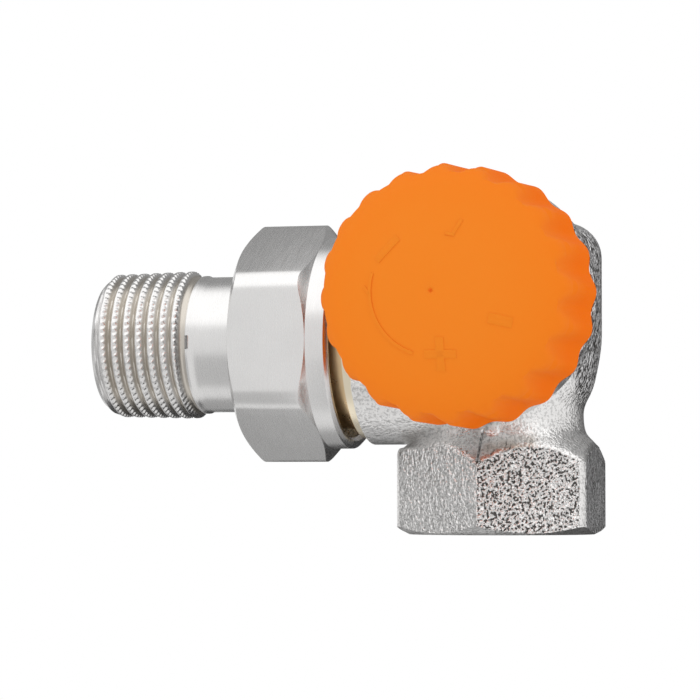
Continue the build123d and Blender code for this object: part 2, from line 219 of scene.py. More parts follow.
def rampNode(tree, value, low, high, toLow=0.0, toHigh=1.0, smooth=True):
    node = addNode(tree, "ShaderNodeMapRange", interpolation_type="SMOOTHSTEP" if smooth else "LINEAR")
    tree.links.new(value, node.inputs["Value"])
    for name, number in zip(("From Min", "From Max", "To Min", "To Max"), (low, high, toLow, toHigh)):
        node.inputs[name].default_value = number
    return node.outputs["Result"]


def mixColor(tree, factor, first, second):
    node = addNode(tree, "ShaderNodeMix", data_type="RGBA")
    for socket, value in zip((node.inputs[0], node.inputs[6], node.inputs[7]), (factor, first, second)):
        if isinstance(value, (tuple, int, float)):
            socket.default_value = (*value, 1) if isinstance(value, tuple) else value
        else:
            tree.links.new(value, socket)
    return node.outputs[2]


def noiseNode(tree, vector, scale, detail=3.0, rough=0.55):
    node = addNode(tree, "ShaderNodeTexNoise")
    tree.links.new(vector, node.inputs["Vector"])
    for name, number in (("Scale", scale), ("Detail", detail), ("Roughness", rough)):
        node.inputs[name].default_value = number
    return node.outputs["Fac"]


def bumpNode(tree, height, strength, distance, normal=None):
    node = addNode(tree, "ShaderNodeBump")
    node.inputs["Strength"].default_value = strength
    node.inputs["Distance"].default_value = distance
    tree.links.new(height, node.inputs["Height"])
    if normal is not None:
        tree.links.new(normal, node.inputs["Normal"])
    return node.outputs["Normal"]


def stretched(tree, vector, scale):
    node = addNode(tree, "ShaderNodeMapping")
    tree.links.new(vector, node.inputs["Vector"])
    node.inputs["Scale"].default_value = scale
    return node.outputs["Vector"]


def newGroup(name, inputs, outputs):
    group = bpy.data.node_groups.new(name, "ShaderNodeTree")
    for socketName, kind, value in inputs:
        socket = group.interface.new_socket(socketName, in_out="INPUT", socket_type=kind)
        if value is not None:
            socket.default_value = value
    for socketName, kind in outputs:
        group.interface.new_socket(socketName, in_out="OUTPUT", socket_type=kind)
    return group, group.nodes.new("NodeGroupInput"), group.nodes.new("NodeGroupOutput")


def placeGroup(tree, group, **values):
    node = addNode(tree, "ShaderNodeGroup", node_tree=group)
    for name, value in values.items():
        socket = node.inputs[name]
        if isinstance(value, (int, float)):
            socket.default_value = value
        else:
            tree.links.new(value, socket)
    return node


def fade(tree, value, ends):
    # zero at the first place and one at the second, in mm
    return rampNode(tree, value, ends[0] * mm, ends[1] * mm)


def product(tree, first, *others):
    whole = first
    for other in others:
        whole = mathNode(tree, "MULTIPLY", whole, other)
    return whole


noiseSpan = (0.3, 0.7)       # where most of a noise's values lie

# grain of a blasted and plated casting: pits, a height and a fine tone
grainLook = {
    "detail": 1.0,
    "fineRough": 0.6,
    "lumpScale": 0.37,       # of the fine grain's scale
    "lumpShare": 0.6,        # of the fine grain's height
    "pitDepth": (0.495, 0.40),
    "toneScale": 180.0,
}


def makeCastGrain():
    group, inside, outside = newGroup(
        "castGrain",
        [("Vector", "NodeSocketVector", None), ("Grain", "NodeSocketFloat", 2.0)],
        [("Height", "NodeSocketFloat"), ("Pits", "NodeSocketFloat"), ("Tone", "NodeSocketFloat")],
    )
    vector, grain = inside.outputs["Vector"], inside.outputs["Grain"]
    fine = addNode(group, "ShaderNodeTexNoise")
    fine.inputs["Detail"].default_value = grainLook["detail"]
    fine.inputs["Roughness"].default_value = grainLook["fineRough"]
    group.links.new(vector, fine.inputs["Vector"])
    group.links.new(grain, fine.inputs["Scale"])
    lumps = addNode(group, "ShaderNodeTexNoise")
    lumps.inputs["Detail"].default_value = grainLook["detail"]
    group.links.new(vector, lumps.inputs["Vector"])
    group.links.new(product(group, grain, grainLook["lumpScale"]), lumps.inputs["Scale"])
    swell = product(group, lumps.outputs["Fac"], grainLook["lumpShare"])
    group.links.new(mathNode(group, "ADD", fine.outputs["Fac"], swell), outside.inputs["Height"])
    group.links.new(rampNode(group, fine.outputs["Fac"], *grainLook["pitDepth"]), outside.inputs["Pits"])
    group.links.new(noiseNode(group, vector, grainLook["toneScale"]), outside.inputs["Tone"])
    return group


# fine rings that a lathe tool leaves round the outlet axis, and a cloudy tone
markLook = {"ringScale": (9000, 260, 260), "ringDetail": 2.0, "cloudScale": 240.0}


def makeToolMarks():
    group, inside, outside = newGroup(
        "toolMarks",
        [("Vector", "NodeSocketVector", None)],
        [("Rings", "NodeSocketFloat"), ("Cloud", "NodeSocketFloat")],
    )
    vector = inside.outputs["Vector"]
    rings = noiseNode(group, stretched(group, vector, markLook["ringScale"]), 1.0, markLook["ringDetail"])
    group.links.new(rings, outside.inputs["Rings"])
    group.links.new(noiseNode(group, vector, markLook["cloudScale"]), outside.inputs["Cloud"])
    return group


castGrain = makeCastGrain()
toolMarks = makeToolMarks()

# cast nickel: places are in mm, each pair from where a patch begins to where it is full
castLook = {
    "bright": (0.80, 0.79, 0.78),
    "pit": (0.10, 0.095, 0.09),
    "blasted": (0.94, 0.93, 0.92),
    "paintedShade": (0.52, 0.47, 0.42),     # painted shade under the cap, over the hollows of the neck
    # darker grey on the wrinkled right side of the neck and on the right-facing sandy flat
    "rightSideGrey": (0.60, 0.595, 0.60),
    "land": (0.86, 0.77, 0.60),
    # the relief's darker brown: unpolished brass, with the shade of the undercut painted in
    "relief": (0.74, 0.54, 0.32),
    "rough": (0.26, 0.36),
    "fineGrain": 2600.0,
    "coarseGrain": 2600.0,
    "rippleGrain": 2000.0,
    "rippleStretch": (1.0, 1.0, 0.7),
    "meanHeight": 0.8,       # of the grain, so that its patches have no step round them
    "finePits": 0.3,         # how dark the pits are off the coarse flat
    "sandyPits": 0.7,
    "wrinkledGrey": 0.75,
    "bumps": {"fine": 0.12, "ripple": 0.33, "wrinkled": 0.9, "coarse": 0.8, "sandy": 0.22, "lump": 0.35},
    "shoulder": (-17.53, -17.58),    # on X, where the plating ends
    "landEnd": (-18.80, -18.85),
    "twist": 1.0,            # degrees the hexagon is turned
    "flats": {"coarse": 30, "ripple": -30, "sandy": 90},     # degrees from the front towards the right
    "flat": (13.42, 13.48),  # from the inlet axis
    "rim": (12.9, 12.4),     # on Z, over the flats
    "shadeTop": (14.6, 12.4),
    "shadeFoot": (11.0, 12.0),
    "shadeFront": (-5, -7),  # on Y
    "shadeLeft": (-5, -3.5),
    "shadeRight": (8, 6.5),
    "shadeTone": (0.4, 0.6),
    "crease": (0.22, 0.088),         # off the parting line
    "creaseFront": (-8, -9),
    "creaseTop": (14.6, 13.8),
    "creaseFoot": (9.4, 10.6),
    "creaseShade": (0.6, 0.9, 1.0, 0.4),      # grain heights and how dark the painted shade in the line is there
    "wrinkledSide": (11.4, 12.4),
    "wrinkledFoot": (16.5, 18.5),
    "lump": (1.6, -12.2, 14.7),
    "lumpReach": (1.35, 0.3),
}


def flatMask(tree, place, height, turn):
    # one on the hexagon's flat that faces the given way
    angle = math.radians(turn + castLook["twist"])
    dot = addNode(tree, "ShaderNodeVectorMath", operation="DOT_PRODUCT")
    tree.links.new(place, dot.inputs[0])
    dot.inputs[1].default_value = (math.sin(angle), -math.cos(angle), 0)
    near = fade(tree, dot.outputs["Value"], castLook["flat"])
    return product(tree, near, fade(tree, height, castLook["rim"]))


def creaseMask(tree, place, depth, height):
    # one along the parting line, on the front of the neck and down the near corner, where shade is painted
    # into its groove
    angle = math.radians(castLook["twist"])
    dot = addNode(tree, "ShaderNodeVectorMath", operation="DOT_PRODUCT")
    tree.links.new(place, dot.inputs[0])
    dot.inputs[1].default_value = (math.cos(angle), math.sin(angle), 0)
    line = fade(tree, mathNode(tree, "ABSOLUTE", dot.outputs["Value"]), castLook["crease"])
    front = fade(tree, depth, castLook["creaseFront"])
    low = fade(tree, height, castLook["creaseTop"])
    high = fade(tree, height, castLook["creaseFoot"])
    return product(tree, line, front, low, high)


def lumpMask(tree, place):
    # a small swelling beside the parting line
    gap = addNode(tree, "ShaderNodeVectorMath", operation="DISTANCE")
    tree.links.new(place, gap.inputs[0])
    gap.inputs[1].default_value = [side * mm for side in castLook["lump"]]
    return fade(tree, gap.outputs["Value"], castLook["lumpReach"])


def paintedShadeMask(tree, tone, across, depth, height):
    # one where shade is painted, in front of the neck over the flats, under the cap
    paintedShade = fade(tree, height, castLook["shadeTop"])
    paintedShade = product(tree, paintedShade, fade(tree, height, castLook["shadeFoot"]))
    paintedShade = product(tree, paintedShade, rampNode(tree, tone, *castLook["shadeTone"]))
    paintedShade = product(tree, paintedShade, fade(tree, depth, castLook["shadeFront"]))
    left = fade(tree, across, castLook["shadeLeft"])
    return product(tree, paintedShade, left, fade(tree, across, castLook["shadeRight"]))


def makeCastNickel():
    look = castLook
    material, tree, shader = newMaterial("castNickel")
    place = objectPlace(tree)
    across, depth, height = splitAxes(tree, place)
    # the flats: one took a coarse blast, one lies in ripples, one is sandy
    coarse = flatMask(tree, place, height, look["flats"]["coarse"])
    ripple = flatMask(tree, place, height, look["flats"]["ripple"])
    sandy = flatMask(tree, place, height, look["flats"]["sandy"])
    side = fade(tree, across, look["wrinkledSide"])
    wrinkled = product(tree, side, fade(tree, height, look["wrinkledFoot"]))
    lump = lumpMask(tree, place)
    crease = creaseMask(tree, place, depth, height)
    bare = fade(tree, across, look["shoulder"])
    turned = fade(tree, across, look["landEnd"])
    fineGrain = placeGroup(tree, castGrain, Vector=place, Grain=look["fineGrain"])
    coarseGrain = placeGroup(tree, castGrain, Vector=place, Grain=look["coarseGrain"])
    waves = stretched(tree, place, look["rippleStretch"])
    rippleGrain = placeGroup(tree, castGrain, Vector=waves, Grain=look["rippleGrain"])
    tone = fineGrain.outputs["Tone"]
    # pits
    creaseShade = rampNode(tree, rippleGrain.outputs["Height"], *look["creaseShade"])
    pits = product(tree, coarseGrain.outputs["Pits"], coarse)
    for mask in (
        product(tree, fineGrain.outputs["Pits"], look["finePits"]),
        product(tree, rippleGrain.outputs["Pits"], wrinkled),
        product(tree, coarseGrain.outputs["Pits"], sandy, look["sandyPits"]),
        # the parting line's groove painted dark as shade
        product(tree, crease, creaseShade),
    ):
        pits = mathNode(tree, "MAXIMUM", pits, mask)
    # colour
    # painted shade under the cap, broken up by the grain's tone, with the lump kept out of it
    underCapShade = paintedShadeMask(tree, tone, across, depth, height)
    underCapShade = mathNode(tree, "SUBTRACT", underCapShade, lump, clamp=True)
    plate = mixColor(tree, underCapShade, look["bright"], look["paintedShade"])
    plate = mixColor(tree, mathNode(tree, "MAXIMUM", coarse, lump), plate, look["blasted"])
    # darker grey on the right-facing surfaces
    rightSideGrey = mathNode(tree, "MAXIMUM", product(tree, wrinkled, look["wrinkledGrey"]), sandy)
    plate = mixColor(tree, rightSideGrey, plate, look["rightSideGrey"])
    nickel = mixColor(tree, pits, plate, look["pit"])
    # the land's bright brass and the relief's darker brown, which is partly painted shade of the undercut
    brass = mixColor(tree, turned, look["land"], look["relief"])
    tree.links.new(mixColor(tree, bare, nickel, brass), shader.inputs["Base Color"])
    shader.inputs["Metallic"].default_value = 1.0
    tree.links.new(rampNode(tree, tone, *noiseSpan, *look["rough"]), shader.inputs["Roughness"])
    # relief, one bump on the other
    cast = mathNode(tree, "SUBTRACT", 1.0, bare)
    normal = None
    for grain, mask, bump in (
        (fineGrain, cast, "fine"),
        (rippleGrain, ripple, "ripple"),
        (rippleGrain, wrinkled, "wrinkled"),
        (coarseGrain, coarse, "coarse"),
        (coarseGrain, sandy, "sandy"),
    ):
        swell = mathNode(tree, "SUBTRACT", grain.outputs["Height"], look["meanHeight"])
        normal = bumpNode(tree, product(tree, swell, mask), 1.0, look["bumps"][bump] * mm, normal)
    seam = mathNode(tree, "SUBTRACT", lump, crease)
    normal = bumpNode(tree, seam, 1.0, look["bumps"]["lump"] * mm, normal)
    tree.links.new(normal, shader.inputs["Normal"])
    return material


# satin nickel of the nut and the tailpiece
satinLook = {
    "light": (0.70, 0.692, 0.685),
    "dark": (0.63, 0.623, 0.617),
    "rough": (0.24, 0.31),
    "bump": 0.06,
    "bumpDistance": 0.02,
}


def satinFinish(tree, shader, place):
    marks = placeGroup(tree, toolMarks, Vector=place)
    tone = mixColor(tree, marks.outputs["Cloud"], satinLook["light"], satinLook["dark"])
    rough = rampNode(tree, marks.outputs["Rings"], *noiseSpan, *satinLook["rough"])
    shader.inputs["Metallic"].default_value = 1.0
    normal = bumpNode(tree, marks.outputs["Rings"], satinLook["bump"], satinLook["bumpDistance"] * mm)
    tree.links.new(normal, shader.inputs["Normal"])
    return tone, rough


def makeSatinNickel():
    material, tree, shader = newMaterial("satinNickel")
    place = objectPlace(tree)
    tone, rough = satinFinish(tree, shader, place)
    tree.links.new(tone, shader.inputs["Base Color"])
    tree.links.new(rough, shader.inputs["Roughness"])
    return material


# the same with rougher tan-grey valleys between the thread's crests, darker with painted shade as they
# deepen, places in mm
threadLook = {
    "valley": (0.52, 0.485, 0.435),
    "valleyDepth": (10.2, 9.75),     # from the outlet axis
    "valleyRough": 0.04,
    "foot": (-42.8, -43.0),          # on X
    "tip": (-55.2, -55.0),
}


def makeThreadNickel():
    look = threadLook
    material, tree, shader = newMaterial("threadNickel")
    place = objectPlace(tree)
    tone, rough = satinFinish(tree, shader, place)
    along, depth, height = splitAxes(tree, place)
    across = mathNode(tree, "SUBTRACT", depth, outletAxis[0].y)
    upwards = mathNode(tree, "SUBTRACT", height, outletAxis[0].z)
    square = mathNode(tree, "ADD", product(tree, across, across), product(tree, upwards, upwards))
    deep = fade(tree, mathNode(tree, "SQRT", square), look["valleyDepth"])
    threaded = fade(tree, along, look["foot"])
    valley = product(tree, deep, threaded, fade(tree, along, look["tip"]))
    # painted shade: the valleys darken with depth below the crests
    tree.links.new(mixColor(tree, valley, tone, look["valley"]), shader.inputs["Base Color"])
    rough = mathNode(tree, "ADD", rough, product(tree, valley, look["valleyRough"]))
    tree.links.new(rough, shader.inputs["Roughness"])
    return material


plasticLook = {
    # dome: the orange with a painted sheen, paler over the front; wall: the plastic's own orange
    "dome": (0.885, 0.236, 0.020),
    "wall": (0.895, 0.165, 0.001),
    "sheenFrom": 24.0,           # mm before the inlet axis, where the painted sheen begins over the wall's own orange
    "sheenFull": 38.5,
    "grain": 3500.0,
    "grainDetail": 2.0,
    "rough": (0.5, 0.6),
    "specular": 0.02,
    "glow": 0.08,
    "glowRadius": (0.9, 0.35, 0.1),
    "glowScale": 0.0008,
    "bump": 0.15,
    "bumpDistance": 0.03,
}


def makeOrangePlastic():
    look = plasticLook
    material, tree, shader = newMaterial("orangePlastic")
    place = objectPlace(tree)
    forward = product(tree, splitAxes(tree, place)[1], -1.0)
    # painted sheen: paler orange over the domed front than on the wall
    share = rampNode(tree, forward, look["sheenFrom"] * mm, look["sheenFull"] * mm, smooth=False)
    tree.links.new(mixColor(tree, share, look["wall"], look["dome"]), shader.inputs["Base Color"])
    grain = noiseNode(tree, place, look["grain"], look["grainDetail"])
    tree.links.new(rampNode(tree, grain, *noiseSpan, *look["rough"]), shader.inputs["Roughness"])
    shader.inputs["Specular IOR Level"].default_value = look["specular"]
    shader.inputs["Subsurface Weight"].default_value = look["glow"]
    shader.inputs["Subsurface Radius"].default_value = look["glowRadius"]
    shader.inputs["Subsurface Scale"].default_value = look["glowScale"]
    normal = bumpNode(tree, grain, look["bump"], look["bumpDistance"] * mm)
    tree.links.new(normal, shader.inputs["Normal"])
    return material


# turned brass and steel, with rings round the insert's axis
turnedLook = {
    "ringScale": (300, 8000, 300),
    "ringDetail": 2.0,
    "cloudScale": 400.0,
    "roughRise": 0.12,
    "bump": 0.15,
    "bumpDistance": 0.02,
}


def makeTurnedMetal(name, light, dark, rough):
    look = turnedLook
    material, tree, shader = newMaterial(name)
    place = objectPlace(tree)
    rings = noiseNode(tree, stretched(tree, place, look["ringScale"]), 1.0, look["ringDetail"])
    tone = mixColor(tree, noiseNode(tree, place, look["cloudScale"]), light, dark)
    tree.links.new(tone, shader.inputs["Base Color"])
    shader.inputs["Metallic"].default_value = 1.0
    roughness = rampNode(tree, rings, *noiseSpan, rough, rough + look["roughRise"])
    tree.links.new(roughness, shader.inputs["Roughness"])
    normal = bumpNode(tree, rings, look["bump"], look["bumpDistance"] * mm)
    tree.links.new(normal, shader.inputs["Normal"])
    return material


rubberLook = {
    "dark": (0.012, 0.012, 0.012),
    "light": (0.035, 0.034, 0.033),
    "grain": 2500.0,
    "rough": (0.5, 0.7),
    "bump": 0.2,
    "bumpDistance": 0.03,
}


def makeSealRubber():
    look = rubberLook
    material, tree, shader = newMaterial("sealRubber")
    place = objectPlace(tree)
    grain = noiseNode(tree, place, look["grain"])
    tree.links.new(mixColor(tree, grain, look["dark"], look["light"]), shader.inputs["Base Color"])
    tree.links.new(rampNode(tree, grain, *noiseSpan, *look["rough"]), shader.inputs["Roughness"])
    normal = bumpNode(tree, grain, look["bump"], look["bumpDistance"] * mm)
    tree.links.new(normal, shader.inputs["Normal"])
    return material


castNickel = makeCastNickel()
satinNickel = makeSatinNickel()
threadNickel = makeThreadNickel()
orangePlastic = makeOrangePlastic()
insertBrass = makeTurnedMetal("insertBrass", (0.80, 0.60, 0.30), (0.68, 0.48, 0.22), 0.25)
threadBrass = makeTurnedMetal("threadBrass", (0.80, 0.66, 0.42), (0.70, 0.56, 0.34), 0.25)
spindleSteel = makeTurnedMetal("spindleSteel", (0.68, 0.68, 0.69), (0.58, 0.58, 0.60), 0.22)
springSteel = makeTurnedMetal("springSteel", (0.50, 0.50, 0.52), (0.40, 0.40, 0.42), 0.3)
sealRubber = makeSealRubber()
print("materials ready")


# tailpiece with its knurled pipe thread, in mm from the inlet axis and from the outlet axis
tail = {
    "steps": 576,
    "bore": 6.8,
    "boreEdge": 0.4,
    "shank": 9.68,
    "collar": 11.95,
    "collarBack": 31.52,
    "collarLength": 2.9,
    "nose": (7.7, 8.9),      # radius at its front and at the collar
    "edge": 0.25,
    "fillet": 0.2,
    "pitch": 1.814,
    "firstCrest": 53.82,     # at the top of the turn
    "threadFoot": 43.2,
    "threadTip": 57.0,
    "threadCuts": 134,
    "footDepth": 0.15,       # of the thread's foot under the shank
    "rowDepth": 0.3,         # what lies less deep under the shank is thread
    "rootRadius": 10.6,      # crest radius at the foot of the taper
    "tipRadius": 10.25,
    "depth": 0.85,
    "crestHalf": 0.25,
    "runOut": 0.9,
    "lip": 0.10,             # where the knurl ends short of the crest's tip side
    "teeth": 66,
    "toothDepth": 0.34,
    "toothSlant": 0.35,
    "toothTaper": 2.3,
    "toothReach": 2.4,
    "tipChamfer": (9.15, 0.85),      # radius at the tip, and its rise per mm behind it
}
# the ring behind the thread and the dent in its front
ring = {"foot": 42.1, "start": 42.35, "end": 42.75, "groove": 42.9, "rise": 0.2, "grooveDepth": 0.1}
dent = {"at": 42.55, "half": 0.05, "turn": 0.09, "depth": 0.3}
valleyRound = 1.4            # how round a thread's valleys are


def threadDrop(place, angle, pitch, crestHalf, depth):
    # how far a right-hand thread lies under its crest, and the distance from the crest's middle
    turnShare = place / pitch - angle / (2 * math.pi)
    off = (turnShare - np.round(turnShare)) * pitch
    share = np.clip((np.abs(off) - crestHalf) / (pitch / 2 - crestHalf), 0, 1)
    return depth * (1 - (1 - share) ** valleyRound), off


def makeTailpiece():
    low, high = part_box("tailpiece")
    front, tip = -high.x / mm, -low.x / mm
    bore, shank, collar = tail["bore"], tail["shank"], tail["collar"]
    back, edge, fillet = tail["collarBack"], tail["edge"], tail["fillet"]
    collarFront = back - tail["collarLength"]
    corners = [
        (front, bore),
        (front, tail["nose"][0]),
        (collarFront, tail["nose"][1], 2),
        (collarFront, collar - edge),
        (collarFront + edge, collar),
        (back - edge, collar, 2),
        (back, collar - edge),
        (back, shank + fillet),
        (back + fillet, shank),
        (ring["foot"], shank, 10),
        (ring["start"], shank + ring["rise"]),
        (ring["end"], shank + ring["rise"], 2),
        (ring["groove"], shank - ring["grooveDepth"]),
        (tail["threadFoot"], shank - tail["footDepth"], 3),
        (tip, shank + fillet, tail["threadCuts"]),
        (tip, bore + tail["boreEdge"], 3),
        (tip - tail["boreEdge"], bore, 2),
        (front, bore, 2),
    ]
    piece = turnProfile("tailpieceSkin", corners, outletAxis, tail["steps"])
    place, radius, angle = toTurned(readPoints(piece), outletAxis)
    threaded = (place > tail["threadFoot"] - 0.001) & (radius > shank - tail["rowDepth"])
    share = (place - tail["threadFoot"]) / (tail["threadTip"] - tail["threadFoot"])
    crest = tail["rootRadius"] + (tail["tipRadius"] - tail["rootRadius"]) * share
    drop, off = threadDrop(place - tail["firstCrest"], angle, tail["pitch"], tail["crestHalf"], tail["depth"])
    # knurl: slanted notches, deeper towards the valve
    tooth = angle * tail["teeth"] / (2 * math.pi) + off * tail["toothSlant"]
    notch = np.clip(1 - tail["toothTaper"] * np.abs(tooth - np.round(tooth)), 0, 1)
    onCrest = np.clip(1 - drop / tail["depth"] * tail["toothReach"], 0, 1)
    deeper = np.clip((tail["lip"] - off) / (tail["lip"] + tail["crestHalf"]), 0, 1)
    turned = crest - drop - notch * onCrest * deeper * tail["toothDepth"]
    # the run-out at the foot and the chamfer at the tip
    foot = shank - tail["footDepth"]
    turned = foot + (turned - foot) * np.clip((place - tail["threadFoot"]) / tail["runOut"], 0, 1)
    tipRadius, tipRise = tail["tipChamfer"]
    turned = np.minimum(turned, tipRadius + (tail["threadTip"] - place) * tipRise)
    radius = np.where(threaded, turned, radius)
    # the dent
    dented = (np.abs(place - dent["at"]) < dent["half"]) & (radius > shank)
    dented = dented & (np.abs(angle + math.pi / 2) < dent["turn"])
    radius = np.where(dented, shank - dent["depth"], radius)
    writePoints(piece, fromTurned(place, radius, angle, outletAxis))
    smoothByAngle(piece, 40)
    return piece


def addKeyLugs(piece):
    # two lugs in the bore, for the key that screws the tailpiece in
    lug = {"length": 9.0, "width": 3.0, "rise": 1.6, "inset": 2.0, "sunk": 0.8, "edge": 0.25}
    tip = -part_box("tailpiece")[0].x / mm
    parts = [piece]
    for sign in (1, -1):
        deselectAll()
        height = outletAxis[0].z + sign * (tail["bore"] - lug["rise"] / 2 + lug["sunk"] / 2) * mm
        spot = (-(tip - lug["inset"] - lug["length"] / 2) * mm, outletAxis[0].y, height)
        bpy.ops.mesh.primitive_cube_add(size=mm, location=spot)
        block = bpy.context.object
        block.scale = (lug["length"], lug["width"], lug["rise"] + lug["sunk"])
        bpy.ops.object.transform_apply(location=True, rotation=True, scale=True)
        bpy.ops.object.mode_set(mode="EDIT")
        bpy.ops.mesh.select_all(action="SELECT")
        bpy.ops.mesh.bevel(offset=lug["edge"] * mm, segments=2, affect="EDGES")
        bpy.ops.object.mode_set(mode="OBJECT")
        parts.append(block)
    makeActive(piece)
    for part in parts:
        part.select_set(True)
    bpy.ops.object.join()


tailpiece = makeTailpiece()
addKeyLugs(tailpiece)
finishPiece(tailpiece, "tailpiece", "plated_nickel", threadNickel, "tailpiece")


# hand cap with flutes that fade into its domed front, in mm before and round the insert's axis
cap = {
    "steps": 400,
    "lobes": 20,
    "rim": 18.55,
    "face": 39.28,
    "shoulder": 30.4,
    "crest": (17.75, 17.3),
    "flute": (0.62, 1.9),
    "wallRadius": 17.25,
    "round": 6.5,
    "wall": 2.2,
    "rimEdge": 0.35,
    "bore": 15.15,
    "boreEnd": 29.55,
    "boreEdge": 0.6,
    "bossRadius": 3.4,
    "bossEnd": 29.85,
    "bossEdge": 0.2,
    "faceRings": (0, 0.1, 0.18, 0.26),
    "dimple": 1.5,
    "dimpleDepth": 0.14,
    "gate": 0.26,
    "gateDepth": 0.4,
    "sunkFrom": 0.5,         # under the face, and how far from its middle, the points that may sink
    "sunkReach": 4,
    "skinDepth": 1.0,        # from the bore, the fluted skin lies further out
    "blend": 0.8,            # over which a flute runs into the dome
    "turn": 2.2,             # degrees the lobes are turned
    "markRise": 0.14,
    "markEdge": 0.07,        # how much lower a mark's edge is
    "markRoot": 0.2,         # under the dome
    "markCuts": 5,
    "arcCuts": 23,
}

# raised marks on the cap's face, in mm right of and over its middle: length, width and tilt in degrees,
# and for the turning arc its radius and the angles of its ends
capMarks = [
    {"spot": (1.05, -8.3), "size": (4.3, 1.15), "tilt": 0},
    {"spot": (1.05, -8.3), "size": (1.15, 4.5), "tilt": 0},
    {"spot": (9.0, -3.95), "size": (3.1, 1.4), "tilt": -12},
    {"spot": (-6.1, 5.6), "size": (4.2, 1.0), "tilt": 46},
    {"spot": (3.3, 8.3), "size": (2.4, 0.5), "tilt": 62},
    {"spot": (2.4, 7.4), "size": (1.3, 0.5), "tilt": -12},
    {"spot": (-8.9, 0.1), "size": (1.6, 0.45), "tilt": -50},
    {"arc": (8.55, 163, 252), "size": (13.2, 0.5)},
]


def capDome():
    # radius and middle of the dome, and where the rounded edge meets it
    depth = cap["face"] - cap["shoulder"]
    inset = cap["wallRadius"] - cap["round"]
    radius = (inset**2 + depth**2 - cap["round"] ** 2) / (2 * (depth - cap["round"]))
    return radius, cap["face"] - radius, inset


def makeHandCap():
    domeRadius, domeCentre, inset = capDome()
    meet = math.atan2(inset, cap["shoulder"] - domeCentre)
    def arcs(skin, count):
        # the rounded edge and the dome, from the wall to the middle
        spots = []
        edge = cap["round"] - skin
        for index in range(1, count + 1):
            turn = (math.pi / 2 - meet) * index / count
            spots.append((cap["shoulder"] + edge * math.sin(turn), inset + edge * math.cos(turn)))
        for index in range(1, 2 * count):
            turn = meet * (1 - index / (2 * count))
            dome = domeRadius - skin
            spots.append((domeCentre + dome * math.cos(turn), dome * math.sin(turn)))
        return spots
    outer = arcs(0.0, 16)
    inner = arcs(cap["wall"], 8)
    inner = [spot for spot in reversed(inner) if spot[1] > cap["bossRadius"] + 2 * cap["bossEdge"]]
    thin = cap["wallRadius"] - cap["wall"]
    rim, rimEdge, widest = cap["rim"], cap["rimEdge"], cap["crest"][0]
    bore, boreEnd, boreEdge = cap["bore"], cap["boreEnd"], cap["boreEdge"]
    boss, bossEnd, bossEdge = cap["bossRadius"], cap["bossEnd"], cap["bossEdge"]
    corners = [(cap["face"], reach) for reach in cap["faceRings"]] + outer[::-1]
    corners += [(cap["shoulder"], cap["wallRadius"]), (rim + rimEdge, widest, 16)]
    corners += [(rim, widest - rimEdge), (rim, bore + boreEdge, 2)]
    corners += [(rim + boreEdge, bore), (boreEnd, bore, 6), (boreEnd, thin)]
    corners += [(cap["shoulder"], thin)] + inner[::-1]
    corners += [(inner[0][0], boss + bossEdge), (bossEnd + bossEdge, boss, 5)]
    corners += [(bossEnd, boss - bossEdge), (bossEnd, 0, 3)]
    piece = turnProfile("handCapSkin", corners, insertAxis, cap["steps"])
    place, radius, angle = toTurned(readPoints(piece), insertAxis)
    share = (place - rim) / (cap["face"] - rim)
    crest = widest + (cap["crest"][1] - widest) * share
    flute = cap["flute"][0] + (cap["flute"][1] - cap["flute"][0]) * share
    wave = 0.5 - 0.5 * np.cos(cap["lobes"] * (angle - math.radians(cap["turn"])))
    fluted = crest - flute * wave
    skin = radius > bore + cap["skinDepth"]
    # smooth minimum of the dome and the fluted wall
    gap = np.clip(0.5 + (radius - fluted) / (2 * cap["blend"]), 0, 1)
    eased = radius + (fluted - radius) * gap - cap["blend"] * gap * (1 - gap)
    domed = place > cap["shoulder"] - 0.01
    wanted = np.where(domed, eased, fluted - (widest - radius) * (place < rim + rimEdge / 2))
    radius = np.where(skin, wanted, radius)
    # the gate mark in the middle of the face
    middle = (place > cap["face"] - cap["sunkFrom"]) & (radius < cap["sunkReach"])
    sunk = cap["dimpleDepth"] * np.exp(-((radius / cap["dimple"]) ** 4))
    sunk = sunk + cap["gateDepth"] * np.exp(-((radius / cap["gate"]) ** 4))
    place = np.where(middle, place - sunk, place)
    writePoints(piece, fromTurned(place, radius, angle, insertAxis))
    smoothByAngle(piece, 40)
    return piece


def makeCapMark(mark):
    # a thin bar laid on the dome, straight or bent round the cap's middle
    domeRadius, domeCentre = capDome()[:2]
    deselectAll()
    bpy.ops.mesh.primitive_cube_add(size=1)
    bar = bpy.context.object
    bar.scale = (mark["size"][0], 1, mark["size"][1])
    bpy.ops.object.transform_apply(location=True, rotation=True, scale=True)
    bpy.ops.object.mode_set(mode="EDIT")
    bpy.ops.mesh.select_all(action="SELECT")
    bpy.ops.mesh.subdivide(number_cuts=cap["arcCuts" if "arc" in mark else "markCuts"])
    bpy.ops.object.mode_set(mode="OBJECT")
    points = readPoints(bar)
    u, v, front = points[:, 0], points[:, 2], points[:, 1] < -0.49
    edge = np.maximum(np.abs(u) / mark["size"][0], np.abs(v) / mark["size"][1]) > 0.49
    if "arc" in mark:
        reach, start, end = mark["arc"]
        angle = np.radians((start + end) / 2 + u / mark["size"][0] * (end - start))
        u, v = (reach + v) * np.cos(angle), (reach + v) * np.sin(angle)
    else:
        tilt = math.radians(mark["tilt"])
        u, v = u * math.cos(tilt) - v * math.sin(tilt), u * math.sin(tilt) + v * math.cos(tilt)
        u, v = u + mark["spot"][0], v + mark["spot"][1]
    rise = np.where(front, cap["markRise"] - cap["markEdge"] * edge, -cap["markRoot"])
    place = domeCentre + np.sqrt(domeRadius**2 - u**2 - v**2) + rise
    spots = np.stack([u * mm, -place * mm, insertAxis[0].z + v * mm], axis=1)
    writePoints(bar, spots)
    smoothByAngle(bar, 40)
    return bar


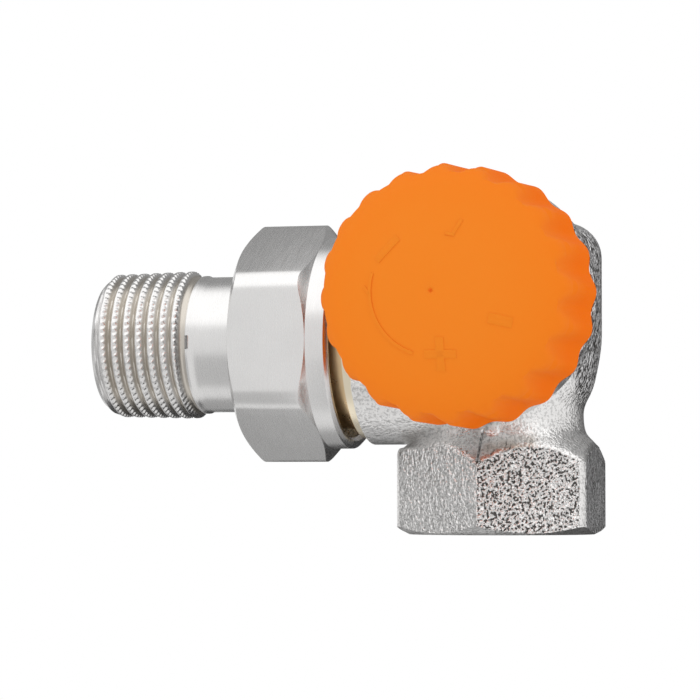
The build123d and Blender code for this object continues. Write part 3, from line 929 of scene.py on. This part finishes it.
handCap = makeHandCap()
bars = [makeCapMark(mark) for mark in capMarks]
makeActive(handCap)
for bar in bars:
    bar.select_set(True)
bpy.ops.object.join()
finishPiece(handCap, "cap", "orange_plastic", orangePlastic, "hand_cap")


# union nut, the CAD form with broken edges
nut = {"edge": 0.18, "sharp": 25}
unionNut = copyNode("union_nut", "unionNutSkin")
softenEdges(unionNut, nut["edge"], nut["sharp"])
smoothByAngle(unionNut, nut["sharp"])
finishPiece(unionNut, "union_nut", "plated_nickel", satinNickel, "union_nut")

# valve body, the CAD casting with a rounded rim over the flats and room for its two threads, in mm
socket = {
    "steps": 240,
    "cuts": 120,
    "drawn": 9.315,          # the plain bore of the solid
    "mouth": 9.815,
    "depth": 13.5,
    "minor": 9.315,
    "rise": 1.13,
    "pitch": 1.814,
    "crestHalf": 0.14,
    "wall": 10.5,
    "sunk": 0.1,             # of the thread's back in the wall
    "lip": 0.05,
    "inset": 0.02,
    "bevel": 0.9,
    "runOut": 1.4,
}
hexagon = {
    "top": 12.45,
    "inside": 12.3,
    "turn": -2.0,            # degrees the cast hexagon stands off the drawn one
    "wallSlope": 0.05,       # normals on Z, under which a face is a flat and over which it is a slope
    "rimSlope": 0.3,
    "rimSpan": (6, 14),      # heights that the rim lies between
    "round": 0.6,
    "lift": 1.2,             # the rim runs up into the spigot at its two left corners
    "liftFrom": (6.0, 10.0),
    "liftTo": (10.4, 12.6),
    "liftRadius": 12.0,
    "corners": (-59, -119),
    "reach": (4, 28),        # degrees from a corner
}
# the waist is cut in on the right: how far, and the spans on X and Z over which that comes and goes
waist = {"cut": 0.4, "right": (5, 11), "foot": (12.6, 14.5), "top": (22, 28)}
unionThread = {
    "steps": 288,
    "cuts": 64,
    "start": 22.35,
    "end": 28.38,
    "core": 12.1,
    "coreSpan": (22.15, 28.5),
    "drawn": 13.4,           # the solid's plain end is slimmer than this
    "major": 13.2,
    "rise": 1.08,
    "pitch": 1.814,
    "crestHalf": 0.16,
    "sunk": 0.5,             # of the thread's back in the core
    "lip": 0.1,
    "lead": 1.05,
}


def easeStep(value, low, high):
    share = np.clip((value - low) / (high - low), 0, 1)
    return share * share * (3 - 2 * share)


def shapeBody(piece):
    # the hexagon's true turn, a slimmer waist on the right, and a core for the union thread
    points = readPoints(piece)
    place, radius, angle = toTurned(points, inletAxis)
    hexed = (place < hexagon["top"]) & (radius > hexagon["inside"])
    points = fromTurned(place, radius, angle + np.where(hexed, math.radians(hexagon["turn"]), 0), inletAxis)
    across, height = points[:, 0] / mm, points[:, 2] / mm
    inwards = easeStep(across, *waist["right"]) * easeStep(height, *waist["foot"])
    inwards = inwards * (1 - easeStep(height, *waist["top"]))
    points[:, 0] -= waist["cut"] * mm * inwards
    place, radius, angle = toTurned(points, outletAxis)
    start, end = unionThread["coreSpan"]
    cut = (place > start) & (place < end) & (radius > unionThread["core"]) & (radius < unionThread["drawn"])
    writePoints(piece, fromTurned(place, np.where(cut, unionThread["core"], radius), angle, outletAxis))


def makeUnionThread():
    start, end, core = unionThread["start"], unionThread["end"], unionThread["core"]
    back, lip = core - unionThread["sunk"], core + unionThread["lip"]
    corners = [(start, back), (start, lip), (end, lip, unionThread["cuts"]), (end, back), (start, back, 4)]
    piece = turnProfile("unionThreadSkin", corners, outletAxis, unionThread["steps"])
    place, radius, angle = toTurned(readPoints(piece), outletAxis)
    drop = threadDrop(place, angle, unionThread["pitch"], unionThread["crestHalf"], unionThread["rise"])[0]
    lead = np.minimum(lip + (place - start) * unionThread["lead"], lip + (end - place))
    threaded = np.minimum(unionThread["major"] - drop, lead)
    writePoints(piece, fromTurned(place, np.where(radius > core, threaded, radius), angle, outletAxis))
    smoothByAngle(piece, 40)
    return piece


def roundRim(piece):
    # a rounded rim over the flats, lifted at the corners under the spigot
    makeActive(piece)
    bpy.ops.object.mode_set(mode="EDIT")
    bpy.ops.mesh.select_mode(type="EDGE")
    bpy.ops.mesh.select_all(action="SELECT")
    bpy.ops.mesh.dissolve_limited(angle_limit=flatAngle)
    bpy.ops.mesh.select_all(action="DESELECT")
    bpy.ops.object.mode_set(mode="OBJECT")
    foot, top = hexagon["rimSpan"]
    walls, slopes = set(), set()
    for face in piece.data.polygons:
        if 0 < face.center.z < top * mm:
            if abs(face.normal.z) < hexagon["wallSlope"]:
                walls.update(face.edge_keys)
            elif face.normal.z > hexagon["rimSlope"]:
                slopes.update(face.edge_keys)
    rim = walls & slopes
    spots = piece.data.vertices
    for edge in piece.data.edges:
        edge.select = edge.key in rim and min(spots[index].co.z for index in edge.key) > foot * mm
    bpy.ops.object.mode_set(mode="EDIT")
    bpy.ops.mesh.bevel(offset=hexagon["round"] * mm, segments=3, affect="EDGES", clamp_overlap=False)
    bpy.ops.mesh.select_mode(type="VERT")    # as the next pieces need it
    bpy.ops.object.mode_set(mode="OBJECT")
    points = readPoints(piece)
    place, radius, angle = toTurned(points, inletAxis)
    high = easeStep(place, *hexagon["liftFrom"]) * (1 - easeStep(place, *hexagon["liftTo"]))
    high = high * (radius > hexagon["liftRadius"])
    for corner in hexagon["corners"]:
        near = 1 - easeStep(np.abs(np.degrees(angle) - corner), *hexagon["reach"])
        points[:, 2] += hexagon["lift"] * mm * near * high
    writePoints(piece, points)


def widenSocket(piece):
    place, radius, angle = toTurned(readPoints(piece), inletAxis)
    inside = (place < socket["depth"] + socket["sunk"]) & (radius < socket["mouth"] + socket["lip"])
    inside = inside & (radius > socket["drawn"] - socket["lip"])
    writePoints(piece, fromTurned(place, np.where(inside, socket["wall"], radius), angle, inletAxis))


def makeSocketThread():
    start, end = socket["inset"], socket["depth"] - socket["inset"]
    wall, minor = socket["wall"], socket["minor"]
    back, lip = wall + socket["sunk"], wall - socket["lip"]
    corners = [(start, back), (start, lip), (end, minor, socket["cuts"]), (end, back), (start, back, 4)]
    piece = turnProfile("socketThreadSkin", corners, inletAxis, socket["steps"])
    place, radius, angle = toTurned(readPoints(piece), inletAxis)
    drop = threadDrop(place, angle, socket["pitch"], socket["crestHalf"], socket["rise"])[0]
    runOut = np.clip((end - place) / socket["runOut"], 0, 1)
    bevel = lip - (place - start) * (wall - minor) / socket["bevel"]
    threaded = np.maximum(minor + drop * runOut, bevel)
    writePoints(piece, fromTurned(place, np.where(radius < wall, threaded, radius), angle, inletAxis))
    smoothByAngle(piece, 40)
    return piece


valveBody = copyNode("valve_body", "valveBodySkin")
widenSocket(valveBody)
shapeBody(valveBody)
roundRim(valveBody)
smoothByAngle(valveBody, 30)
finishPiece(valveBody, "valve", "cast_nickel", castNickel, "valve_body")
finishPiece(makeSocketThread(), "valve", "insert_brass", threadBrass)
finishPiece(makeUnionThread(), "valve", "insert_brass", threadBrass)

# return spring, on a mesh of its own
spring = copyNode("return_spring", "returnSpringSkin")
smoothByAngle(spring, 50)
finishPiece(spring, "valve", "spring_steel", springSteel, "return_spring")
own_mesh(spring)

# finishes of the insert's own pieces
insertFinish = {
    "insert_housing": insertBrass,
    "guide_bush": insertBrass,
    "disc_carrier": insertBrass,
    "disc_nut": insertBrass,
    "gland_nut": insertBrass,
    "gland_cover": insertBrass,
    "spindle": spindleSteel,
    "spring_washer": springSteel,
    "retaining_ring": springSteel,
    "housing_seal": sealRubber,
    "seal_disc": sealRubber,
    "inner_seal": sealRubber,
    "outer_seal": sealRubber,
}
for nodeName, material in insertFinish.items():
    nodes[nodeName].data.materials.clear()
    nodes[nodeName].data.materials.append(material)
print("insert finished")


# studio: white surround, pale floor, one softbox, and grey cards that only reflections see
studio = {
    "fill": 0.98,
    "middle": -0.02,         # m on X, where lamps and cards look
    "floorHeight": -30.0,
    "floorRadius": 100.0,
    "floorSides": 96,
    "floorTones": ((0.90, 0.90, 0.90), (0.92, 0.92, 0.92)),
    "floorCloud": 6.0,
    "floorRough": 0.9,
    "softbox": {"turn": 66, "reach": 0.5, "tall": 0.75, "wide": 1.3, "radiance": 0.12},
    # each card: where its middle is (degrees up from the front, round the outlet axis), its span and its grey
    "cards": {
        "cardSoftbox": {"turn": 65, "span": 70, "grey": 1.55},
        "cardFrontLow": {"turn": -48, "span": 58, "grey": 0.68, "wide": 0.8, "shift": -0.42},
        "cardBackLow": {"turn": -134, "span": 58, "grey": 0.45, "wide": 0.8, "shift": -0.42},
        "cardBackHigh": {"turn": 138, "span": 54, "grey": 0.36},
    },
    "cardReach": 0.4,
    "cardWide": 1.6,
    # each side card: degrees round the inlet axis from the front towards the right, its spans and its grey
    "sideCards": {
        "cardRight": {"turn": 168, "span": 68, "tall": 108, "grey": 0.06, "rise": -0.12},
        "cardLeft": {"turn": -76, "span": 44, "tall": 50, "grey": 0.30},
    },
    "sideReach": 0.34,
}


def makeWorld():
    world = bpy.data.worlds.new("whiteStudio")
    world.use_nodes = True
    bpy.context.scene.world = world
    tree = world.node_tree
    back = tree.nodes["Background"]
    back.inputs["Color"].default_value = (1, 1, 1, 1)
    strength = rampNode(tree, seenRays(tree), 0, 1, studio["fill"], 1.0, smooth=False)
    tree.links.new(strength, back.inputs["Strength"])


def seenRays(tree):
    # one for what the camera, reflections and glass see, zero for the light that falls on things
    rays = addNode(tree, "ShaderNodeLightPath")
    seen = mathNode(tree, "MAXIMUM", rays.outputs["Is Camera Ray"], rays.outputs["Is Glossy Ray"])
    return mathNode(tree, "MAXIMUM", seen, rays.outputs["Is Transmission Ray"])


def makeFloor():
    deselectAll()
    spot, radius = (studio["middle"], 0, studio["floorHeight"] * mm), studio["floorRadius"] * mm
    sides = studio["floorSides"]
    bpy.ops.mesh.primitive_circle_add(vertices=sides, radius=radius, fill_type="NGON", location=spot)
    floor = bpy.context.object
    floor.name = "floor"
    bpy.ops.object.transform_apply(location=True, rotation=True, scale=True)
    material, tree, shader = newMaterial("paleFloor")
    place = objectPlace(tree)
    tone = mixColor(tree, noiseNode(tree, place, studio["floorCloud"]), *studio["floorTones"])
    tree.links.new(tone, shader.inputs["Base Color"])
    shader.inputs["Roughness"].default_value = studio["floorRough"]
    shader.inputs["Specular IOR Level"].default_value = 0.0
    # seen from below it is not there
    under = addNode(tree, "ShaderNodeMixShader")
    tree.links.new(addNode(tree, "ShaderNodeNewGeometry").outputs["Backfacing"], under.inputs["Fac"])
    tree.links.new(shader.outputs["BSDF"], under.inputs[1])
    tree.links.new(addNode(tree, "ShaderNodeBsdfTransparent").outputs["BSDF"], under.inputs[2])
    tree.links.new(under.outputs["Shader"], tree.nodes["Material Output"].inputs["Surface"])
    floor.data.materials.append(material)
    floor.visible_glossy = False


def studioMiddle():
    return Vector((studio["middle"], 0, outletAxis[0].z))


def turnedSpot(turn, reach):
    # a place round the outlet axis, counted up from the front
    angle = math.radians(turn)
    return Vector((0, -math.cos(angle), math.sin(angle))) * reach + studioMiddle()


def faceMiddle(thing):
    thing.rotation_euler = (studioMiddle() - thing.location).to_track_quat("-Z", "Y").to_euler()


def addCard(name, place, wide, tall, grey, shift=0.0):
    deselectAll()
    bpy.ops.mesh.primitive_plane_add(size=1, location=place)
    card = bpy.context.object
    card.name = name
    card.scale = (wide, tall, 1)
    faceMiddle(card)
    card.location.x += shift
    bpy.ops.object.transform_apply(location=True, rotation=True, scale=True)
    material = bpy.data.materials.new(name)
    material.use_nodes = True
    tree = material.node_tree
    tree.nodes.remove(tree.nodes["Principled BSDF"])
    glow = addNode(tree, "ShaderNodeEmission")
    glow.inputs["Color"].default_value = (grey, grey, grey, 1)
    tree.links.new(glow.outputs[0], tree.nodes["Material Output"].inputs["Surface"])
    card.data.materials.append(material)
    card.visible_camera = False
    card.visible_diffuse = False
    card.visible_transmission = False
    card.visible_shadow = False


def addSoftbox(name, turn, reach, tall, wide, radiance):
    light = bpy.data.lights.new(name, "AREA")
    light.shape = "RECTANGLE"
    light.size, light.size_y = wide, tall
    light.energy = radiance * math.pi * wide * tall
    lamp = bpy.data.objects.new(name, light)
    bpy.context.scene.collection.objects.link(lamp)
    lamp.location = turnedSpot(turn, reach)
    lamp.visible_glossy = False
    faceMiddle(lamp)


def makeCamera():
    shot = {
        "azimuth": 16.189,
        "elevation": -2.271,
        "distance": 0.5,
        "lens": 180.26,
        "target": (-0.022251, 0, 0.026158),
    }
    view = bpy.data.cameras.new("photoView")
    view.lens = shot["lens"]
    view.sensor_width = 36
    view.clip_start = 0.01
    camera = bpy.data.objects.new("photoView", view)
    bpy.context.scene.collection.objects.link(camera)
    turn, rise = math.radians(shot["azimuth"]), math.radians(shot["elevation"])
    back = Vector((math.sin(turn) * math.cos(rise), -math.cos(turn) * math.cos(rise), math.sin(rise)))
    camera.location = Vector(shot["target"]) + back * shot["distance"]
    camera.rotation_euler = back.to_track_quat("Z", "Y").to_euler()
    bpy.context.scene.camera = camera


makeWorld()
makeFloor()
addSoftbox("softbox", **studio["softbox"])
for cardName, card in studio["cards"].items():
    tall = 2 * studio["cardReach"] * math.tan(math.radians(card["span"] / 2))
    spot, wide = turnedSpot(card["turn"], studio["cardReach"]), card.get("wide", studio["cardWide"])
    addCard(cardName, spot, wide, tall, card["grey"], card.get("shift", 0.0))
for cardName, card in studio["sideCards"].items():
    turn, reach = math.radians(card["turn"]), studio["sideReach"]
    height = outletAxis[0].z + card.get("rise", 0.0)
    spot = Vector((math.sin(turn) * reach + studio["middle"], -math.cos(turn) * reach, height))
    wide, tall = (2 * reach * math.tan(math.radians(card[side] / 2)) for side in ("span", "tall"))
    addCard(cardName, spot, wide, tall, card["grey"])
makeCamera()
bpy.context.scene.view_settings.view_transform = "Standard"
print("studio ready")
